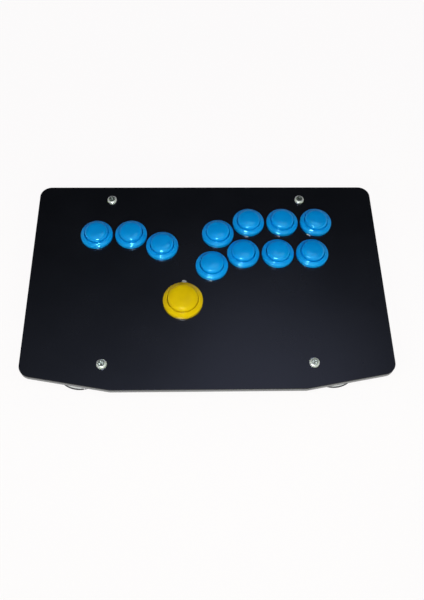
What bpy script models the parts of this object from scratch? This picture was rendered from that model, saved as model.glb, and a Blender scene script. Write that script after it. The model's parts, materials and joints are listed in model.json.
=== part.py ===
"""All-button arcade control panel, in metres with +Z up.

The origin is on the table under the middle of the panel. +X is the player's right and +Y
points away from the player. Each button is an empty at its centre on the panel's face, which
carries the housing, the plunger and the microswitch.
"""

import math

import bmesh
import bpy
from mathutils import Vector

MM = 0.001
GAP = 0.3 * MM  # clearance between pieces that touch
OVERLAP = 0.5 * MM  # how far shapes that are joined run into each other

# Panel: a face sheet on a plate, with the front corners set back
PANEL_WIDTH = 301 * MM
PANEL_DEPTH = 196.5 * MM
PANEL_TOP = 55 * MM
SHEET_THICKNESS = 0.7 * MM
PLATE_THICKNESS = 4.7 * MM
FRONT_FLAT = 155.5 * MM
FRONT_SETBACK = 13.2 * MM
CORNER_RADIUS = 10 * MM
FRONT_CORNER_RADIUS = 3 * MM
FRONT = -PANEL_DEPTH / 2
BACK = PANEL_DEPTH / 2
PLATE_TOP = PANEL_TOP - SHEET_THICKNESS - GAP
PLATE_BOTTOM = PLATE_TOP - PLATE_THICKNESS

# Buttons, measured in the panel's face
BUTTON_PITCH = 30.1 * MM
SIDE_STEP = Vector((27.5, 12.0)) * MM  # from a row's end button to the lower one beside it
SECOND_ROW_SHIFT = Vector((-5.8, -32.6)) * MM
ACTION_START = Vector((37.5, 58.25)) * MM
MOVE_START = Vector((-96.4, 45.75)) * MM
JUMP_CENTRE = Vector((-20.5, -20.25)) * MM
SMALL_BUTTON = {
    "hole": 12.0 * MM,  # radii first, then heights from the panel's face
    "collar": 14.0 * MM,
    "bore": 10.4 * MM,
    "lip": 1.9 * MM,
    "collar_top": 4.4 * MM,
    "plunger_top": 8.8 * MM,
}
LARGE_BUTTON = {
    "hole": 15.0 * MM,
    "collar": 16.8 * MM,
    "bore": 13.1 * MM,
    "lip": 1.4 * MM,
    "collar_top": 5.2 * MM,
    "plunger_top": 9.7 * MM,
}

# Button heights, measured from the panel's face
COLLAR_FLAT = 0.5 * MM  # the level ring round the bore
COLLAR_CURVE = 2.2  # 2 is an ellipse, and more is squarer
PLUNGER_CROWN = 4.0 * MM  # the height over which the plunger's side curves into its top
PLUNGER_CURVE = 2.6
PLUNGER_ROOF = 2.6 * MM  # the thickness of its crown
PLUNGER_SKIRT = -9.0 * MM
BARREL_FLOOR = -17.5 * MM
BARREL_BOTTOM = -19.0 * MM
SWITCH_TOP = BARREL_BOTTOM - GAP
SWITCH_BOTTOM = -29.0 * MM
TERMINAL_BOTTOM = -35.0 * MM
BARREL_CLEARANCE = 0.4 * MM
PLUNGER_CLEARANCE = 0.4 * MM
PLUNGER_WALL = 1.2 * MM
STEM_RADIUS = 2.0 * MM
STEM_WELL_RADIUS = 2.6 * MM
STEM_BOTTOM = -20.3 * MM
STEM_WELL_BOTTOM = -24.4 * MM
SWITCH_WIDTH = 6.4 * MM
SWITCH_LENGTH = 19.8 * MM
TERMINAL_SPREAD = 6.0 * MM  # each terminal's distance from the button's centre, along Y
TERMINAL_HALF_WIDTH = 1.4 * MM
TONGUE_WIDTH = 5 * MM
TONGUE_HEIGHT = 4 * MM
TONGUE_REACH = 1.2 * MM  # how far a snap tongue stands out from the barrel
CLIP_WIDTH = 4 * MM
CLIP_HEIGHT = 5 * MM
CLIP_THICKNESS = 1 * MM

# Case tray, folded from sheet steel
TRAY_BOTTOM = 12 * MM
TRAY_WALL = 1.5 * MM
TRAY_FLOOR = TRAY_BOTTOM + TRAY_WALL
TRAY_TOP = PLATE_BOTTOM - GAP
TRAY_FRONT_INSET = 14.2 * MM
TRAY_BACK_INSET = 7.5 * MM
TRAY_SIDE_INSET = 15 * MM
TRAY_CORNER_RADIUS = 4 * MM
TRAY_FOLD_RADIUS = 2.4 * MM
TAB_WIDTH = 18 * MM
TAB_REACH = 7.5 * MM  # how far a tab runs past its screw

# Screws and nuts
SCREW_X = 85 * MM
SCREW_Y = (FRONT + 21.6 * MM, FRONT + 181.8 * MM)
SCREW_SHANK = 1.95 * MM
SCREW_HOLE = 2.3 * MM
PANEL_SCREW_LENGTH = 12 * MM
PANEL_SCREW_HEAD = 4.3 * MM
PANEL_SCREW_HEAD_HEIGHT = 2.2 * MM
RECESS_RADIUS = 1.5 * MM
RECESS_DEPTH = 1.3 * MM
NUT_RADIUS = 4.04 * MM  # across corners, for 7 mm across flats
NUT_HOLE = 2.6 * MM
NUT_HEIGHT = 3.2 * MM
CUP_SCREW_HEAD = 3.6 * MM
CUP_SCREW_HEAD_HEIGHT = 2.4 * MM

# Suction cups
CUP_X = 110.5 * MM
CUP_Y = (FRONT + 42.8 * MM, FRONT + 162.8 * MM)
CUP_RADIUS = 22.5 * MM
CUP_NECK = 6.5 * MM
CUP_HOLE = 2.4 * MM
CUP_HOLE_BOTTOM = 4.8 * MM

# Electronics on the tray's floor
BOARD_CENTRE = Vector((-88, -30)) * MM
BOARD_SIZE = Vector((70, 40)) * MM
BOARD_THICKNESS = 1.6 * MM
BOARD_BOTTOM = TRAY_FLOOR + 5 * MM
BOARD_POST = Vector((31, 16)) * MM
BOARD_POST_RADIUS = 2.5 * MM
HEADER_LENGTH = 7 * MM  # along the wires
HEADER_HEIGHT = 8 * MM
SIGNAL_HEADER_WIDTH = 30 * MM
GROUND_HEADER_WIDTH = 6 * MM
CHIP_SIDE = 10 * MM
CHIP_SHIFT = 3 * MM  # from the board's centre towards the player
CHIP_HEIGHT = 1 * MM
BOARD_PLUG_SIZE = Vector((8, 8, 5)) * MM
SOCKET_X = -25 * MM
SOCKET_Z = 30 * MM
SOCKET_SIZE = Vector((18, 16, 9)) * MM
SOCKET_NOSE = Vector((11.4, 0, 5.6)) * MM
SOCKET_MOUTH = Vector((8.6, 0, 2.8)) * MM
MOUTH_DEPTH = 6 * MM
WIRE_RADIUS = 0.8 * MM
TRUNK_RADIUS = 1.75 * MM
TRUNK_Y = 4 * MM
TRUNK_END = 2 * MM  # how far the trunk runs past the outermost buttons
BRANCH_BEND = 1.6 * MM
BRANCH_RISE = 1.2 * MM
LEAD_RADIUS = 1.75 * MM
SIGNAL_X = BOARD_CENTRE.x + 6 * MM
GROUND_X = BOARD_CENTRE.x - 20 * MM
LEAD_BOARD_Y = BOARD_CENTRE.y
HEADER_FACE = BOARD_CENTRE.y + BOARD_SIZE.y / 2 - MM + GAP
HEADER_WIRE_Z = BOARD_BOTTOM + BOARD_THICKNESS + HEADER_HEIGHT / 2
WIRE_TOP = PANEL_TOP + TERMINAL_BOTTOM - GAP

BUTTON_SIDES = 16
SCREW_SIDES = 12
POST_SIDES = 8
CUP_SIDES = 20


def clear_scene():
    for obj in list(bpy.data.objects):
        bpy.data.objects.remove(obj, do_unlink=True)


# Materials


def material(name, colour, roughness, metallic=0.0):
    mat = bpy.data.materials.new(name)
    mat.use_nodes = True
    shader = mat.node_tree.nodes["Principled BSDF"]
    shader.inputs["Base Color"].default_value = (*colour, 1.0)
    shader.inputs["Roughness"].default_value = roughness
    shader.inputs["Metallic"].default_value = metallic
    return mat


def blue_plastic():
    return material("blue_plastic", (0.002, 0.22, 0.62), 0.25)


def yellow_plastic():
    return material("yellow_plastic", (0.66, 0.48, 0.015), 0.25)


def face_sheet_black():
    return material("face_sheet_black", (0.008, 0.009, 0.011), 0.45)


def plate_grey():
    return material("plate_grey", (0.25, 0.25, 0.27), 0.5)


def case_black():
    return material("case_black", (0.012, 0.012, 0.013), 0.6)


def screw_steel():
    return material("screw_steel", (0.62, 0.61, 0.59), 0.3, 1.0)


def cup_rubber():
    return material("cup_rubber", (0.42, 0.44, 0.46), 0.2)


def switch_black():
    return material("switch_black", (0.02, 0.02, 0.02), 0.5)


def board_green():
    return material("board_green", (0.01, 0.12, 0.05), 0.5)


def socket_steel():
    return material("socket_steel", (0.5, 0.5, 0.5), 0.35, 1.0)


def signal_wire():
    return material("signal_wire", (0.45, 0.03, 0.02), 0.5)


def ground_wire():
    return material("ground_wire", (0.015, 0.015, 0.015), 0.5)


def lead_black():
    return material("lead_black", (0.02, 0.02, 0.02), 0.55)


# Mesh tools


def finish_mesh(bm, name):
    bmesh.ops.recalc_face_normals(bm, faces=bm.faces)
    mesh = bpy.data.meshes.new(name)
    bm.to_mesh(mesh)
    bm.free()
    return mesh


def turned(name, profile, sides):
    """Turn (radius, height) points about Z. An open profile starts and ends on the axis."""
    bm = bmesh.new()
    ring = [bm.verts.new((radius, 0, height)) for radius, height in profile]
    pairs = list(zip(ring, ring[1:]))
    if profile[0][0] > 0:
        pairs.append((ring[-1], ring[0]))
    edges = [bm.edges.new(pair) for pair in pairs]
    bmesh.ops.spin(
        bm,
        geom=ring + edges,
        axis=(0, 0, 1),
        cent=(0, 0, 0),
        angle=math.tau,
        steps=sides,
        use_merge=True,
    )
    bmesh.ops.remove_doubles(bm, verts=bm.verts, dist=MM / 1000)
    return finish_mesh(bm, name)


def cylinder(name, radius, bottom, top, sides):
    return turned(name, [(0, bottom), (radius, bottom), (radius, top), (0, top)], sides)


def prism(name, outline, bottom, top, fold=0.0):
    """Extrude a plan outline. fold rounds the edge round its bottom face."""
    bm = bmesh.new()
    base = bm.faces.new([bm.verts.new((x, y, bottom)) for x, y in outline])
    made = bmesh.ops.extrude_face_region(bm, geom=[base])["geom"]
    upper = [item for item in made if isinstance(item, bmesh.types.BMVert)]
    bmesh.ops.translate(bm, verts=upper, vec=(0, 0, top - bottom))
    if fold:
        bmesh.ops.bevel(
            bm,
            geom=list(base.edges),
            offset=fold,
            segments=2,
            profile=0.5,
            affect="EDGES",
        )
    return finish_mesh(bm, name)


def box(name, low, high):
    outline = [(low[0], low[1]), (high[0], low[1]), (high[0], high[1]), (low[0], high[1])]
    return prism(name, outline, low[2], high[2])


def tube(name, points, radius, sides_step=1):
    """A round wire along points, closed at both ends."""
    curve = bpy.data.curves.new(name, "CURVE")
    curve.dimensions = "3D"
    curve.bevel_depth = radius
    curve.bevel_resolution = sides_step
    curve.use_fill_caps = True
    spline = curve.splines.new("POLY")
    spline.points.add(len(points) - 1)
    for target, point in zip(spline.points, points):
        target.co = (*point, 1)
    return evaluated_mesh(bpy.data.objects.new(name, curve))


def evaluated_mesh(obj):
    """Link obj for a moment, read its evaluated mesh and remove it again."""
    bpy.context.scene.collection.objects.link(obj)
    depsgraph = bpy.context.evaluated_depsgraph_get()
    mesh = bpy.data.meshes.new_from_object(obj.evaluated_get(depsgraph))
    bpy.data.objects.remove(obj, do_unlink=True)
    return mesh


def boolean(mesh, tools, operation):
    """Join each tool mesh to mesh, or cut it away, one after the other."""
    for tool in tools:
        target = bpy.data.objects.new("target", mesh)
        other = bpy.data.objects.new("tool", tool)
        bpy.context.scene.collection.objects.link(other)
        modifier = target.modifiers.new("boolean", "BOOLEAN")
        modifier.operation = operation
        modifier.object = other
        mesh = evaluated_mesh(target)
        bpy.data.objects.remove(other, do_unlink=True)
    return mesh


def union(mesh, tools):
    return boolean(mesh, tools, "UNION")


def difference(mesh, tools):
    return boolean(mesh, tools, "DIFFERENCE")


def moved(mesh, offset):
    """Shift a tool mesh to its place, and hand it back."""
    for vertex in mesh.vertices:
        vertex.co += Vector(offset)
    return mesh


def place(name, mesh, mat, location=(0, 0, 0), parent=None, smooth=False):
    """Put a copy of mesh in the scene as one named sub-part."""
    mesh = mesh.copy()
    mesh.name = name
    mesh.materials.clear()
    mesh.materials.append(mat)
    if smooth:
        mesh.shade_smooth()
        mesh.set_sharp_from_angle(angle=math.radians(35))
    else:
        mesh.shade_flat()
    obj = bpy.data.objects.new(name, mesh)
    obj.location = location
    obj.parent = parent
    bpy.context.scene.collection.objects.link(obj)
    return obj


# Outlines and routes


def rounded(corners, segments=3):
    """Round each (x, y, radius) corner of a closed outline with an arc."""
    outline = []
    for index, (x, y, radius) in enumerate(corners):
        corner = Vector((x, y))
        before = (Vector(corners[index - 1][:2]) - corner).normalized()
        after = (Vector(corners[(index + 1) % len(corners)][:2]) - corner).normalized()
        half_angle = before.angle(after) / 2
        centre = corner + (before + after).normalized() * radius / math.sin(half_angle)
        first = corner + before * radius / math.tan(half_angle) - centre
        last = corner + after * radius / math.tan(half_angle) - centre
        turn = first.angle_signed(last)
        for step in range(segments + 1):
            angle = -turn * step / segments
            spoke = Vector(
                (
                    first.x * math.cos(angle) - first.y * math.sin(angle),
                    first.x * math.sin(angle) + first.y * math.cos(angle),
                )
            )
            outline.append(tuple(centre + spoke))
    return outline


def panel_outline():
    half = PANEL_WIDTH / 2
    flat = FRONT_FLAT / 2
    shoulder = FRONT + FRONT_SETBACK
    return rounded(
        [
            (-flat, FRONT, FRONT_CORNER_RADIUS),
            (flat, FRONT, FRONT_CORNER_RADIUS),
            (half, shoulder, CORNER_RADIUS),
            (half, BACK, CORNER_RADIUS),
            (-half, BACK, CORNER_RADIUS),
            (-half, shoulder, CORNER_RADIUS),
        ]
    )


def tray_front(x):
    """The front wall's outer face at x. It follows the panel's front edge."""
    slope = FRONT_SETBACK / (PANEL_WIDTH / 2 - FRONT_FLAT / 2)
    return FRONT + TRAY_FRONT_INSET + max(0.0, abs(x) - FRONT_FLAT / 2) * slope


def tray_outline(inset):
    side = PANEL_WIDTH / 2 - TRAY_SIDE_INSET - inset
    flat = FRONT_FLAT / 2
    back = BACK - TRAY_BACK_INSET - inset
    radius = TRAY_CORNER_RADIUS - inset
    return rounded(
        [
            (-flat, tray_front(flat) + inset, radius),
            (flat, tray_front(flat) + inset, radius),
            (side, tray_front(side) + inset, radius),
            (side, back, radius),
            (-side, back, radius),
            (-side, tray_front(side) + inset, radius),
        ],
        segments=2,
    )


def smooth_route(points, steps):
    """A smooth curve through a wire's route. Its first and last stretches stay straight."""
    route = [Vector(point) for point in points]
    curve = route[:1]
    for before, start, end, after in zip(route, route[1:], route[2:], route[3:]):
        for step in range(steps):
            t = step / steps
            curve.append(
                start
                + (end - before) * t / 2
                + (2 * before - 5 * start + 4 * end - after) * t**2 / 2
                + (3 * start - before - 3 * end + after) * t**3 / 2
            )
    return curve + route[-2:]


def button_centres():
    """Each button's name and its centre on the panel."""
    row_step = Vector((BUTTON_PITCH, 0))
    centres = {}
    for row in range(2):
        start = ACTION_START + row * SECOND_ROW_SHIFT
        centres[f"action_{row + 1}_1"] = start - SIDE_STEP
        for column in range(3):
            centres[f"action_{row + 1}_{column + 2}"] = start + column * row_step
    centres["move_left"] = MOVE_START
    centres["move_down"] = MOVE_START + row_step
    centres["move_right"] = MOVE_START + row_step + Vector((SIDE_STEP.x, -SIDE_STEP.y))
    centres["jump"] = JUMP_CENTRE
    return centres


def button_size(name):
    return LARGE_BUTTON if name == "jump" else SMALL_BUTTON


def terminal(centre, side, height):
    """A switch terminal's place: side is -1 for signal and 1 for ground."""
    return Vector((centre.x, centre.y + side * TERMINAL_SPREAD, height))


# Buttons


def dome(inner, outer, bottom, top, curve, steps=4):
    """Profile points of a convex shoulder, from (inner, top) out and down to (outer, bottom)."""
    points = []
    for step in range(steps + 1):
        angle = math.pi / 2 * step / steps
        reach = math.sin(angle) ** (2 / curve)
        rise = max(0.0, math.cos(angle)) ** (2 / curve)
        points.append((inner + (outer - inner) * reach, bottom + (top - bottom) * rise))
    return points


def housing_mesh(size):
    """The collar and barrel, with its snap tongues and the two clips that hold the switch."""
    barrel = size["hole"] - BARREL_CLEARANCE
    collar = size["collar"]
    bore = size["bore"]
    top = size["collar_top"]
    level = bore + COLLAR_FLAT
    body = turned(
        "housing",
        [
            (barrel, GAP),
            (collar, GAP),
            *dome(level, collar, size["lip"], top, COLLAR_CURVE)[::-1],
            (bore, top - 0.2 * MM),
            (bore, BARREL_FLOOR),
            (STEM_WELL_RADIUS, BARREL_FLOOR),
            (STEM_WELL_RADIUS, BARREL_BOTTOM),
            (barrel, BARREL_BOTTOM),
        ],
        BUTTON_SIDES,
    )
    plate_underside = PLATE_BOTTOM - PANEL_TOP
    inner = barrel - TONGUE_REACH / 2
    outer = barrel + TONGUE_REACH
    clip_inner = SWITCH_LENGTH / 2 + GAP
    clip_outer = clip_inner + CLIP_THICKNESS
    half_tongue = TONGUE_WIDTH / 2
    half_clip = CLIP_WIDTH / 2
    additions = []
    for side in (-1, 1):
        x_range = sorted((side * inner, side * outer))
        y_range = sorted((side * clip_inner, side * clip_outer))
        tongue_top = plate_underside - GAP
        tongue_low = (x_range[0], -half_tongue, tongue_top - TONGUE_HEIGHT)
        additions.append(box("tongue", tongue_low, (x_range[1], half_tongue, tongue_top)))
        clip_low = (-half_clip, y_range[0], BARREL_BOTTOM - CLIP_HEIGHT)
        clip_high = (half_clip, y_range[1], BARREL_BOTTOM + MM)
        additions.append(box("clip", clip_low, clip_high))
    return union(body, additions)


def plunger_mesh(size):
    """A hollow cap with a stem that reaches down to the switch."""
    radius = size["bore"] - PLUNGER_CLEARANCE
    inside = radius - PLUNGER_WALL
    top = size["plunger_top"]
    ceiling = top - PLUNGER_ROOF
    return turned(
        "plunger",
        [
            *dome(0, radius, top - PLUNGER_CROWN, top, PLUNGER_CURVE),
            (radius, PLUNGER_SKIRT),
            (inside, PLUNGER_SKIRT),
            (inside, ceiling - MM),
            (inside - MM, ceiling),
            (STEM_RADIUS, ceiling),
            (STEM_RADIUS, STEM_BOTTOM),
            (0, STEM_BOTTOM),
        ],
        BUTTON_SIDES,
    )


def switch_mesh():
    """A microswitch: its case, the well that the stem presses into, and two terminals."""
    half = Vector((SWITCH_WIDTH, SWITCH_LENGTH)) / 2
    case = box("switch", (-half.x, -half.y, SWITCH_BOTTOM), (half.x, half.y, SWITCH_TOP))
    well = cylinder("well", STEM_WELL_RADIUS, STEM_WELL_BOTTOM, SWITCH_TOP + MM, POST_SIDES)
    case = difference(case, [well])
    terminals = []
    for side in (-1, 1):
        middle = side * TERMINAL_SPREAD
        low = (-TERMINAL_HALF_WIDTH, middle - GAP, TERMINAL_BOTTOM)
        high = (TERMINAL_HALF_WIDTH, middle + GAP, SWITCH_BOTTOM + MM)
        terminals.append(box("terminal", low, high))
    return union(case, terminals)


def make_buttons():
    meshes = {
        size["hole"]: (housing_mesh(size), plunger_mesh(size))
        for size in (SMALL_BUTTON, LARGE_BUTTON)
    }
    switch = switch_mesh()
    small_plastic = blue_plastic()
    large_plastic = yellow_plastic()
    switch_plastic = switch_black()
    for name, centre in button_centres().items():
        size = button_size(name)
        plastic = large_plastic if size is LARGE_BUTTON else small_plastic
        housing, plunger = meshes[size["hole"]]
        mount = bpy.data.objects.new(f"{name}_centre", None)
        mount.location = (centre.x, centre.y, PANEL_TOP)
        bpy.context.scene.collection.objects.link(mount)
        place(f"{name}_housing", housing, plastic, parent=mount, smooth=True)
        place(f"{name}_plunger", plunger, plastic, parent=mount, smooth=True)
        place(f"{name}_switch", switch, switch_plastic, parent=mount)


# Panel, tray and fasteners


def screw_places():
    return [(side * SCREW_X, y) for y in SCREW_Y for side in (-1, 1)]


def cup_places():
    return [(side * CUP_X, y) for y in CUP_Y for side in (-1, 1)]


def corner_names():
    return ["front_left", "front_right", "rear_left", "rear_right"]


def panel_holes(bottom, top):
    """Cutters for the button holes and the screw holes, through both panel layers."""
    cutters = []
    for name, centre in button_centres().items():
        radius = button_size(name)["hole"]
        hole = cylinder("hole", radius, bottom, top, BUTTON_SIDES)
        cutters.append(moved(hole, (centre.x, centre.y, 0)))
    for x, y in screw_places():
        hole = cylinder("hole", SCREW_HOLE, bottom, top, SCREW_SIDES)
        cutters.append(moved(hole, (x, y, 0)))
    return cutters


def make_panel():
    sheet_bottom = PANEL_TOP - SHEET_THICKNESS
    outline = panel_outline()
    sheet = prism("sheet", outline, sheet_bottom, PANEL_TOP)
    plate = prism("plate", outline, PLATE_BOTTOM, PLATE_TOP)
    holes = panel_holes(PLATE_BOTTOM - MM, PANEL_TOP + MM)
    place("face_sheet", difference(sheet, holes), face_sheet_black())
    place("top_plate", difference(plate, holes), plate_grey())


def tray_tabs():
    """Four inward tabs at the tray's rim, which carry the panel screws."""
    tabs = []
    back = BACK - TRAY_BACK_INSET
    overlap = TRAY_WALL / 2
    for x, y in screw_places():
        if y < 0:
            ends = (tray_front(abs(x) + TAB_WIDTH / 2) + overlap, y + TAB_REACH)
        else:
            ends = (y - TAB_REACH, back - overlap)
        low = (x - TAB_WIDTH / 2, ends[0], TRAY_TOP - TRAY_WALL)
        tabs.append(box("tab", low, (x + TAB_WIDTH / 2, ends[1], TRAY_TOP)))
    return tabs


def board_posts():
    posts = []
    for side_x in (-1, 1):
        for side_y in (-1, 1):
            x = BOARD_CENTRE.x + side_x * BOARD_POST.x
            y = BOARD_CENTRE.y + side_y * BOARD_POST.y
            top = BOARD_BOTTOM - GAP
            post = cylinder("post", BOARD_POST_RADIUS, TRAY_FLOOR - OVERLAP, top, POST_SIDES)
            posts.append(moved(post, (x, y, 0)))
    return posts


def tray_holes():
    """Cutters for the cup screws, the panel screws and the USB socket."""
    cutters = []
    for x, y in cup_places():
        hole = cylinder("hole", SCREW_HOLE, TRAY_BOTTOM - MM, TRAY_FLOOR + MM, SCREW_SIDES)
        cutters.append(moved(hole, (x, y, 0)))
    for x, y in screw_places():
        hole = cylinder(
            "hole", SCREW_HOLE, TRAY_TOP - TRAY_WALL - MM, TRAY_TOP + MM, SCREW_SIDES
        )
        cutters.append(moved(hole, (x, y, 0)))
    back = BACK - TRAY_BACK_INSET
    half_x = SOCKET_NOSE.x / 2 + GAP
    half_z = SOCKET_NOSE.z / 2 + GAP
    low = (SOCKET_X - half_x, back - TRAY_WALL - MM, SOCKET_Z - half_z)
    cutters.append(box("opening", low, (SOCKET_X + half_x, back + MM, SOCKET_Z + half_z)))
    return cutters


def make_tray():
    fold = TRAY_FOLD_RADIUS
    shell = prism("tray", tray_outline(0), TRAY_BOTTOM, TRAY_TOP, fold)
    inside = prism(
        "inside", tray_outline(TRAY_WALL), TRAY_FLOOR, TRAY_TOP + MM, fold - TRAY_WALL
    )
    tray = difference(shell, [inside])
    tray = union(tray, tray_tabs() + board_posts())
    place("case_tray", difference(tray, tray_holes()), case_black())


def panel_screw_mesh():
    """A low round-headed screw with a drive recess."""
    head = PANEL_SCREW_HEAD
    height = PANEL_SCREW_HEAD_HEIGHT
    return turned(
        "panel_screw",
        [
            (0, height - RECESS_DEPTH),
            (RECESS_RADIUS, height - RECESS_DEPTH),
            (RECESS_RADIUS, height),
            (head - 1.2 * MM, height),
            (head - 0.2 * MM, 0.6 * height),
            (head, 0),
            (SCREW_SHANK, 0),
            (SCREW_SHANK, -PANEL_SCREW_LENGTH),
            (0, -PANEL_SCREW_LENGTH),
        ],
        SCREW_SIDES,
    )


def nut_mesh():
    return turned(
        "nut",
        [(NUT_HOLE, 0), (NUT_RADIUS, 0), (NUT_RADIUS, NUT_HEIGHT), (NUT_HOLE, NUT_HEIGHT)],
        6,
    )


def make_panel_screws():
    screw = panel_screw_mesh()
    nut = nut_mesh()
    steel = screw_steel()
    nut_bottom = TRAY_TOP - TRAY_WALL - GAP - NUT_HEIGHT
    for name, (x, y) in zip(corner_names(), screw_places()):
        place(f"{name}_panel_screw", screw, steel, (x, y, PANEL_TOP + GAP), smooth=True)
        place(f"{name}_panel_nut", nut, steel, (x, y, nut_bottom))


def cup_mesh():
    """A suction cup: a hollow skirt, and a neck with a blind hole for its screw."""
    neck_top = TRAY_BOTTOM - GAP
    return turned(
        "suction_cup",
        [
            (0, CUP_HOLE_BOTTOM),
            (CUP_HOLE, CUP_HOLE_BOTTOM),
            (CUP_HOLE, neck_top),
            (CUP_NECK, neck_top),
            (CUP_NECK, 8.2 * MM),
            (11 * MM, 5.8 * MM),
            (17 * MM, 3.2 * MM),
            (CUP_RADIUS, 0.9 * MM),
            (CUP_RADIUS, 0),
            (CUP_RADIUS - 3 * MM, 0),
            (14 * MM, 1.8 * MM),
            (7 * MM, 3.2 * MM),
            (0, 3.4 * MM),
        ],
        CUP_SIDES,
    )


def cup_screw_mesh():
    head = CUP_SCREW_HEAD
    height = CUP_SCREW_HEAD_HEIGHT
    length = TRAY_FLOOR + GAP - CUP_HOLE_BOTTOM - MM
    return turned(
        "cup_screw",
        [
            (0, height),
            (head - 0.9 * MM, height),
            (head, height / 2),
            (head, 0),
            (SCREW_SHANK, 0),
            (SCREW_SHANK, -length),
            (0, -length),
        ],
        SCREW_SIDES,
    )


def make_cups():
    cup = cup_mesh()
    screw = cup_screw_mesh()
    rubber = cup_rubber()
    steel = screw_steel()
    for name, (x, y) in zip(corner_names(), cup_places()):
        place(f"{name}_suction_cup", cup, rubber, (x, y, 0), smooth=True)
        place(f"{name}_cup_screw", screw, steel, (x, y, TRAY_FLOOR + GAP), smooth=True)


# Electronics and wiring


def board_header(x, width):
    """A wire header that stands along the board's rear edge."""
    top = BOARD_BOTTOM + BOARD_THICKNESS
    rear = BOARD_CENTRE.y + BOARD_SIZE.y / 2 - MM
    low = (x - width / 2, rear - HEADER_LENGTH, top - OVERLAP)
    return box("header", low, (x + width / 2, rear, top + HEADER_HEIGHT))


def make_board():
    half = BOARD_SIZE / 2
    low = BOARD_CENTRE - half
    high = BOARD_CENTRE + half
    top = BOARD_BOTTOM + BOARD_THICKNESS
    board = box("board", (low.x, low.y, BOARD_BOTTOM), (high.x, high.y, top))
    signal = board_header(SIGNAL_X, SIGNAL_HEADER_WIDTH)
    ground = board_header(GROUND_X, GROUND_HEADER_WIDTH)
    half_chip = CHIP_SIDE / 2
    chip_y = BOARD_CENTRE.y - CHIP_SHIFT
    chip_low = (BOARD_CENTRE.x - half_chip, chip_y - half_chip, top - OVERLAP)
    chip_high = (BOARD_CENTRE.x + half_chip, chip_y + half_chip, top + CHIP_HEIGHT)
    half_plug = BOARD_PLUG_SIZE.y / 2
    plug_low = (low.x + GAP, LEAD_BOARD_Y - half_plug, top - OVERLAP)
    plug_high = (low.x + BOARD_PLUG_SIZE.x, LEAD_BOARD_Y + half_plug, top + BOARD_PLUG_SIZE.z)
    chip = box("chip", chip_low, chip_high)
    plug = box("plug", plug_low, plug_high)
    place("encoder_board", union(board, [signal, ground, chip, plug]), board_green())


def make_signal_loom():
    """A trunk under the rows, a branch up to each switch, and a tail to the board."""
    trunk_z = TRAY_FLOOR + GAP + TRUNK_RADIUS
    branch_z = TRAY_FLOOR + 2 * GAP + 2 * WIRE_RADIUS
    centres = button_centres().values()
    first = min(centre.x for centre in centres) - TRUNK_END
    last = max(centre.x for centre in centres) + TRUNK_END
    trunk = tube("trunk", [(first, TRUNK_Y, trunk_z), (last, TRUNK_Y, trunk_z)], TRUNK_RADIUS)
    branches = []
    for centre in centres:
        end = terminal(centre, -1, WIRE_TOP)
        turn = Vector((end.x, end.y, branch_z))
        back = BRANCH_BEND if end.y > TRUNK_Y else -BRANCH_BEND
        points = [
            (end.x, TRUNK_Y, branch_z),
            turn - Vector((0, back, 0)),
            turn + Vector((0, 0, BRANCH_RISE)),
            end,
        ]
        branches.append(tube("branch", points, WIRE_RADIUS))
    tail = [
        (SIGNAL_X, TRUNK_Y, trunk_z),
        (SIGNAL_X, TRUNK_Y - 4 * MM, trunk_z + 2 * MM),
        (SIGNAL_X, HEADER_FACE + 5 * MM, HEADER_WIRE_Z - MM),
        (SIGNAL_X, HEADER_FACE, HEADER_WIRE_Z),
    ]
    branches.append(tube("tail", tail, TRUNK_RADIUS - 0.15 * MM))
    place("signal_loom", union(trunk, branches), signal_wire(), smooth=True)


def ground_route():
    """The ground wire's route from the board past every switch's rear terminal."""
    centres = button_centres()
    wire_z = WIRE_TOP - WIRE_RADIUS
    order = ["move_left", "move_down", "move_right", "jump", "action_2_1", "action_2_2"]
    order += ["action_2_3", "action_2_4", "detour"]
    order += ["action_1_4", "action_1_3", "action_1_2", "action_1_1"]
    route = [
        Vector((GROUND_X, HEADER_FACE, HEADER_WIRE_Z)),
        Vector((GROUND_X, HEADER_FACE + 2 * MM, HEADER_WIRE_Z)),
        Vector((GROUND_X, HEADER_FACE + 9 * MM, wire_z + MM)),
        Vector((GROUND_X, centres["move_left"].y - 4 * MM, wire_z)),
    ]
    for name in order:
        if name == "detour":
            middle = (centres["action_1_4"] + centres["action_2_4"]) / 2
            route.append(Vector((middle.x + 12 * MM, middle.y, wire_z)))
        else:
            route.append(terminal(centres[name], 1, wire_z))
    return route


def make_ground_chain():
    wire = tube("ground_chain", smooth_route(ground_route(), 3), WIRE_RADIUS)
    place("ground_chain", wire, ground_wire(), smooth=True)


def make_socket():
    """The rear USB socket: a block inside the wall whose nose fills the wall's opening."""
    wall_inside = BACK - TRAY_BACK_INSET - TRAY_WALL
    wall_outside = BACK - TRAY_BACK_INSET
    block_back = wall_inside - GAP
    half = SOCKET_SIZE / 2
    nose = SOCKET_NOSE / 2
    mouth = SOCKET_MOUTH / 2
    block = box(
        "socket",
        (SOCKET_X - half.x, block_back - SOCKET_SIZE.y, SOCKET_Z - half.z),
        (SOCKET_X + half.x, block_back, SOCKET_Z + half.z),
    )
    nose_box = box(
        "nose",
        (SOCKET_X - nose.x, block_back - MM, SOCKET_Z - nose.z),
        (SOCKET_X + nose.x, wall_outside, SOCKET_Z + nose.z),
    )
    mouth_box = box(
        "mouth",
        (SOCKET_X - mouth.x, wall_outside - MOUTH_DEPTH, SOCKET_Z - mouth.z),
        (SOCKET_X + mouth.x, wall_outside + MM, SOCKET_Z + mouth.z),
    )
    socket = difference(union(block, [nose_box]), [mouth_box])
    place("usb_socket", socket, socket_steel())


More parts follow.
